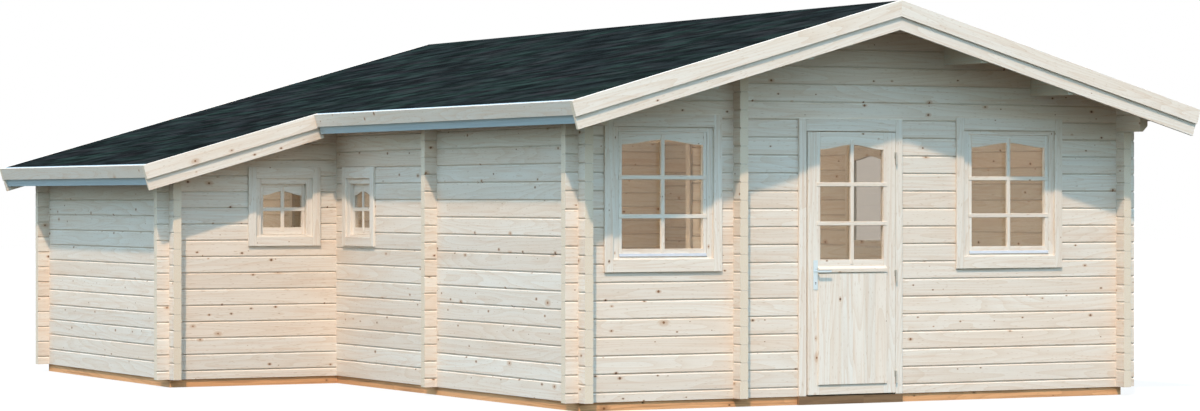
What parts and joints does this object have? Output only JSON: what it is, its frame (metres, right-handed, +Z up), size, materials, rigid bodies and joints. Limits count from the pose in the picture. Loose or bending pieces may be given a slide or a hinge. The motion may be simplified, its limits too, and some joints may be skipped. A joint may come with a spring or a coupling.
{
  "type": "log cabin",
  "caption": "Single-storey log cabin with a low-pitched gable roof, a lower side wing under the same roof slope, cottage windows and a half-glazed door that opens outward.",
  "frame": {"origin": "on the level ground under the sole beam of the main front wall, on the wall's centre line and below the roof's ridge", "axes": "+X to the right along the main front wall, +Y towards the back, +Z up; the door and the main gable face -Y"},
  "size_m": [7.05, 8.525, 3.0503],
  "materials": {
    "impregnated_timber": "sawn, pressure treated",
    "floor_boards": "planed softwood",
    "spruce_logs": "planed spruce, untreated",
    "roof_timber": "planed softwood",
    "roofing_felt": "mineral bitumen felt",
    "verge_boards": "planed spruce",
    "joinery": "planed spruce",
    "threshold_oak": "oiled hardwood",
    "window_pane": "clear",
    "hinge_steel": "zinc plated",
    "handle_metal": "satin"
  },
  "bodies": {
    "root": {"sole_beams": "impregnated_timber", "floor_joists": "impregnated_timber", "floor": "floor_boards", "front_wall_left": "spruce_logs", "front_wall_right": "spruce_logs", "front_gable": "spruce_logs", "left_wall": "spruce_logs", "inner_wall": "spruce_logs", "right_wall": "spruce_logs", "back_wall": "spruce_logs", "wing_front_wall": "spruce_logs", "wing_side_wall": "spruce_logs", "partition_long": "spruce_logs", "partition_cross": "spruce_logs", "inner_casings": "joinery", "ridge_beam": "roof_timber", "purlins": "roof_timber", "roof_deck_left": "roof_timber", "roof_deck_right": "roof_timber", "roof_felt_left": "roofing_felt", "roof_felt_right": "roofing_felt", "front_bargeboards": "verge_boards", "front_barge_cover": "verge_boards", "back_bargeboards": "verge_boards", "back_barge_cover": "verge_boards", "wing_bargeboard": "verge_boards", "wing_barge_cover": "verge_boards", "eave_fascias": "verge_boards", "eave_fascia_cover": "verge_boards", "window_casings": "joinery", "window_frames": "joinery", "window_sashes": "joinery", "window_glass": "window_pane", "door_casing": "joinery", "door_frame": "joinery", "threshold": "threshold_oak", "frame_hinges": "hinge_steel"},
    "door": {"door_leaf": "joinery", "door_glass": "window_pane", "leaf_hinges": "hinge_steel", "handle_plates": "handle_metal"},
    "lever": {"handle_lever": "handle_metal"}
  },
  "joints": [
    {"name": "door_hinge", "type": "hinge", "parent": "root", "child": "door", "pos_m": [0.284, -0.073, 1], "axis": [0, 0, 1], "range_deg": [0, 110]},
    {"name": "lever_turn", "type": "hinge", "parent": "door", "child": "lever", "pos_m": [-0.4355, -0.065, 1.012], "axis": [0, 1, 0], "range_deg": [0, 40], "stiffness_Nm_per_rad": 2, "springref_deg": -20.05}
  ]
}
